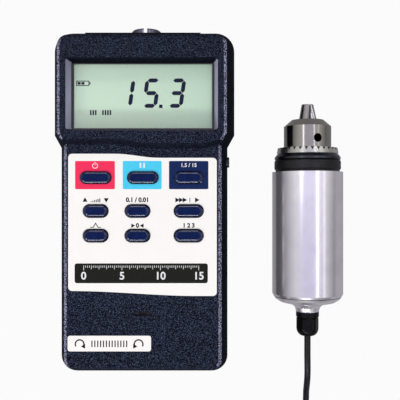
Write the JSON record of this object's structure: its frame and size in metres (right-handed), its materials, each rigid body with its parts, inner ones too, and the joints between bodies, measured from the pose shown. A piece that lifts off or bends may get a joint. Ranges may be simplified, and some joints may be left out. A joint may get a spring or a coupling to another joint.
{
  "type": "torque meter",
  "caption": "Handheld digital torque meter with a sunk display and keypad, and its separate cylindrical torque sensor with a three-jaw chuck on a cable",
  "frame": {"origin": "middle of the meter's flat back, on the table", "axes": "+Y towards the display and socket end, +Z out of the keypad face, +X towards the sensor, whose axis is parallel to Y"},
  "size_m": [0.1539, 0.2621, 0.0372],
  "materials": {
    "case_front": "fine grained navy-black moulding",
    "case_rear": "fine grained black moulding",
    "label": "printed polyester film",
    "key_plastic": "polished moulding",
    "window": "clear acrylic",
    "display": "reflective liquid crystal cell",
    "inner_plastic": "moulded",
    "seal_rubber": "moulded rubber",
    "board": "solder mask",
    "chips": "moulded epoxy",
    "screw_steel": "zinc plated",
    "battery_skin": "printed steel can",
    "lead_red": "insulated wire",
    "plated_metal": "nickel plated",
    "contact_gold": "plated contacts",
    "jack_plastic": "moulded",
    "barrel_aluminium": "fine turned and clear anodised",
    "black_collar": "black anodised, diamond knurled",
    "shaft_steel": "ground steel",
    "gauge_film": "polyimide film",
    "chuck_steel": "ground tool steel",
    "sleeve_steel": "cut and oiled steel",
    "gland_nylon": "moulded nylon",
    "cable_sheath": "soft PVC sheath",
    "tie_nylon": "releasable nylon tie",
    "plug_plastic": "moulded grip"
  },
  "bodies": {
    "root_body": {"front_case": "case_front", "rear_case": "case_rear", "socket_panel": "case_rear", "face_label": "label", "badge_plate": "label", "lcd_window": "window", "lcd_glass": "display", "lcd_frame": "inner_plastic", "tact_switches": "inner_plastic", "socket_insert": "inner_plastic", "sounder": "inner_plastic", "battery_snap": "inner_plastic", "lcd_connectors": "seal_rubber", "end_cap_seal": "seal_rubber", "gland_seal": "seal_rubber", "main_board": "board", "gauge_board": "board", "board_chips": "chips", "case_screws": "screw_steel", "board_screws": "screw_steel", "anchor_screws": "screw_steel", "chuck_screw": "screw_steel", "battery": "battery_skin", "battery_leads": "lead_red", "socket_shell": "plated_metal", "plug_shell": "plated_metal", "socket_contacts": "contact_gold", "plug_contacts": "contact_gold", "output_jack": "jack_plastic", "sensor_barrel": "barrel_aluminium", "end_cap": "barrel_aluminium", "shaft_anchor": "barrel_aluminium", "front_collar": "black_collar", "torsion_shaft": "shaft_steel", "front_bearing": "shaft_steel", "strain_gauges": "gauge_film", "chuck_body": "chuck_steel", "gland_body": "gland_nylon", "gland_nut": "gland_nylon", "sensor_cable": "cable_sheath", "cable_coil": "cable_sheath", "cable_tail": "cable_sheath", "plug_relief": "cable_sheath", "cable_tie": "tie_nylon", "plug_grip": "plug_plastic"},
    "button_power": {"button_power": "key_plastic"},
    "button_hold": {"button_hold": "key_plastic"},
    "button_sensor_type": {"button_sensor_type": "key_plastic"},
    "button_max_min": {"button_max_min": "key_plastic"},
    "button_resolution": {"button_resolution": "key_plastic"},
    "button_fast_slow": {"button_fast_slow": "key_plastic"},
    "button_peak": {"button_peak": "key_plastic"},
    "button_zero": {"button_zero": "key_plastic"},
    "button_unit": {"button_unit": "key_plastic"},
    "battery_door": {"battery_door": "case_front"},
    "chuck_sleeve": {"chuck_sleeve": "sleeve_steel", "chuck_nut": "sleeve_steel"},
    "jaw_1": {"jaw_1": "chuck_steel"},
    "jaw_2": {"jaw_2": "chuck_steel"},
    "jaw_3": {"jaw_3": "chuck_steel"}
  },
  "joints": [
    {"name": "press_power", "type": "slide", "parent": "root_body", "child": "button_power", "axis": [0, 0, -1], "range_m": [0, 0.0006], "stiffness_N_per_m": 300},
    {"name": "press_hold", "type": "slide", "parent": "root_body", "child": "button_hold", "axis": [0, 0, -1], "range_m": [0, 0.0006], "stiffness_N_per_m": 300},
    {"name": "press_sensor_type", "type": "slide", "parent": "root_body", "child": "button_sensor_type", "axis": [0, 0, -1], "range_m": [0, 0.0006], "stiffness_N_per_m": 300},
    {"name": "press_max_min", "type": "slide", "parent": "root_body", "child": "button_max_min", "axis": [0, 0, -1], "range_m": [0, 0.0006], "stiffness_N_per_m": 300},
    {"name": "press_resolution", "type": "slide", "parent": "root_body", "child": "button_resolution", "axis": [0, 0, -1], "range_m": [0, 0.0006], "stiffness_N_per_m": 300},
    {"name": "press_fast_slow", "type": "slide", "parent": "root_body", "child": "button_fast_slow", "axis": [0, 0, -1], "range_m": [0, 0.0006], "stiffness_N_per_m": 300},
    {"name": "press_peak", "type": "slide", "parent": "root_body", "child": "button_peak", "axis": [0, 0, -1], "range_m": [0, 0.0006], "stiffness_N_per_m": 300},
    {"name": "press_zero", "type": "slide", "parent": "root_body", "child": "button_zero", "axis": [0, 0, -1], "range_m": [0, 0.0006], "stiffness_N_per_m": 300},
    {"name": "press_unit", "type": "slide", "parent": "root_body", "child": "button_unit", "axis": [0, 0, -1], "range_m": [0, 0.0006], "stiffness_N_per_m": 300},
    {"name": "battery_door_slide", "type": "slide", "parent": "root_body", "child": "battery_door", "axis": [0, -1, 0], "range_m": [0, 0.036]},
    {"name": "chuck_turn", "type": "hinge", "parent": "root_body", "child": "chuck_sleeve", "pos_m": [0.087, 0.025, 0.0186], "axis": [0, 1, 0], "range_deg": [0, 2550]},
    {"name": "jaw_1_slide", "type": "slide", "parent": "root_body", "child": "jaw_1", "axis": [-0.1915, -0.9613, 0.1983], "range_m": [0, 0.009]},
    {"name": "jaw_2_slide", "type": "slide", "parent": "root_body", "child": "jaw_2", "axis": [-0.076, -0.9613, -0.265], "range_m": [0, 0.009]},
    {"name": "jaw_3_slide", "type": "slide", "parent": "root_body", "child": "jaw_3", "axis": [0.2674, -0.9613, 0.0667], "range_m": [0, 0.009]}
  ],
  "couplings": [
    {"joint": "jaw_1_slide", "follows": "chuck_turn", "m_per_rad": 0.00020213},
    {"joint": "jaw_2_slide", "follows": "chuck_turn", "m_per_rad": 0.00020213},
    {"joint": "jaw_3_slide", "follows": "chuck_turn", "m_per_rad": 0.00020213}
  ]
}
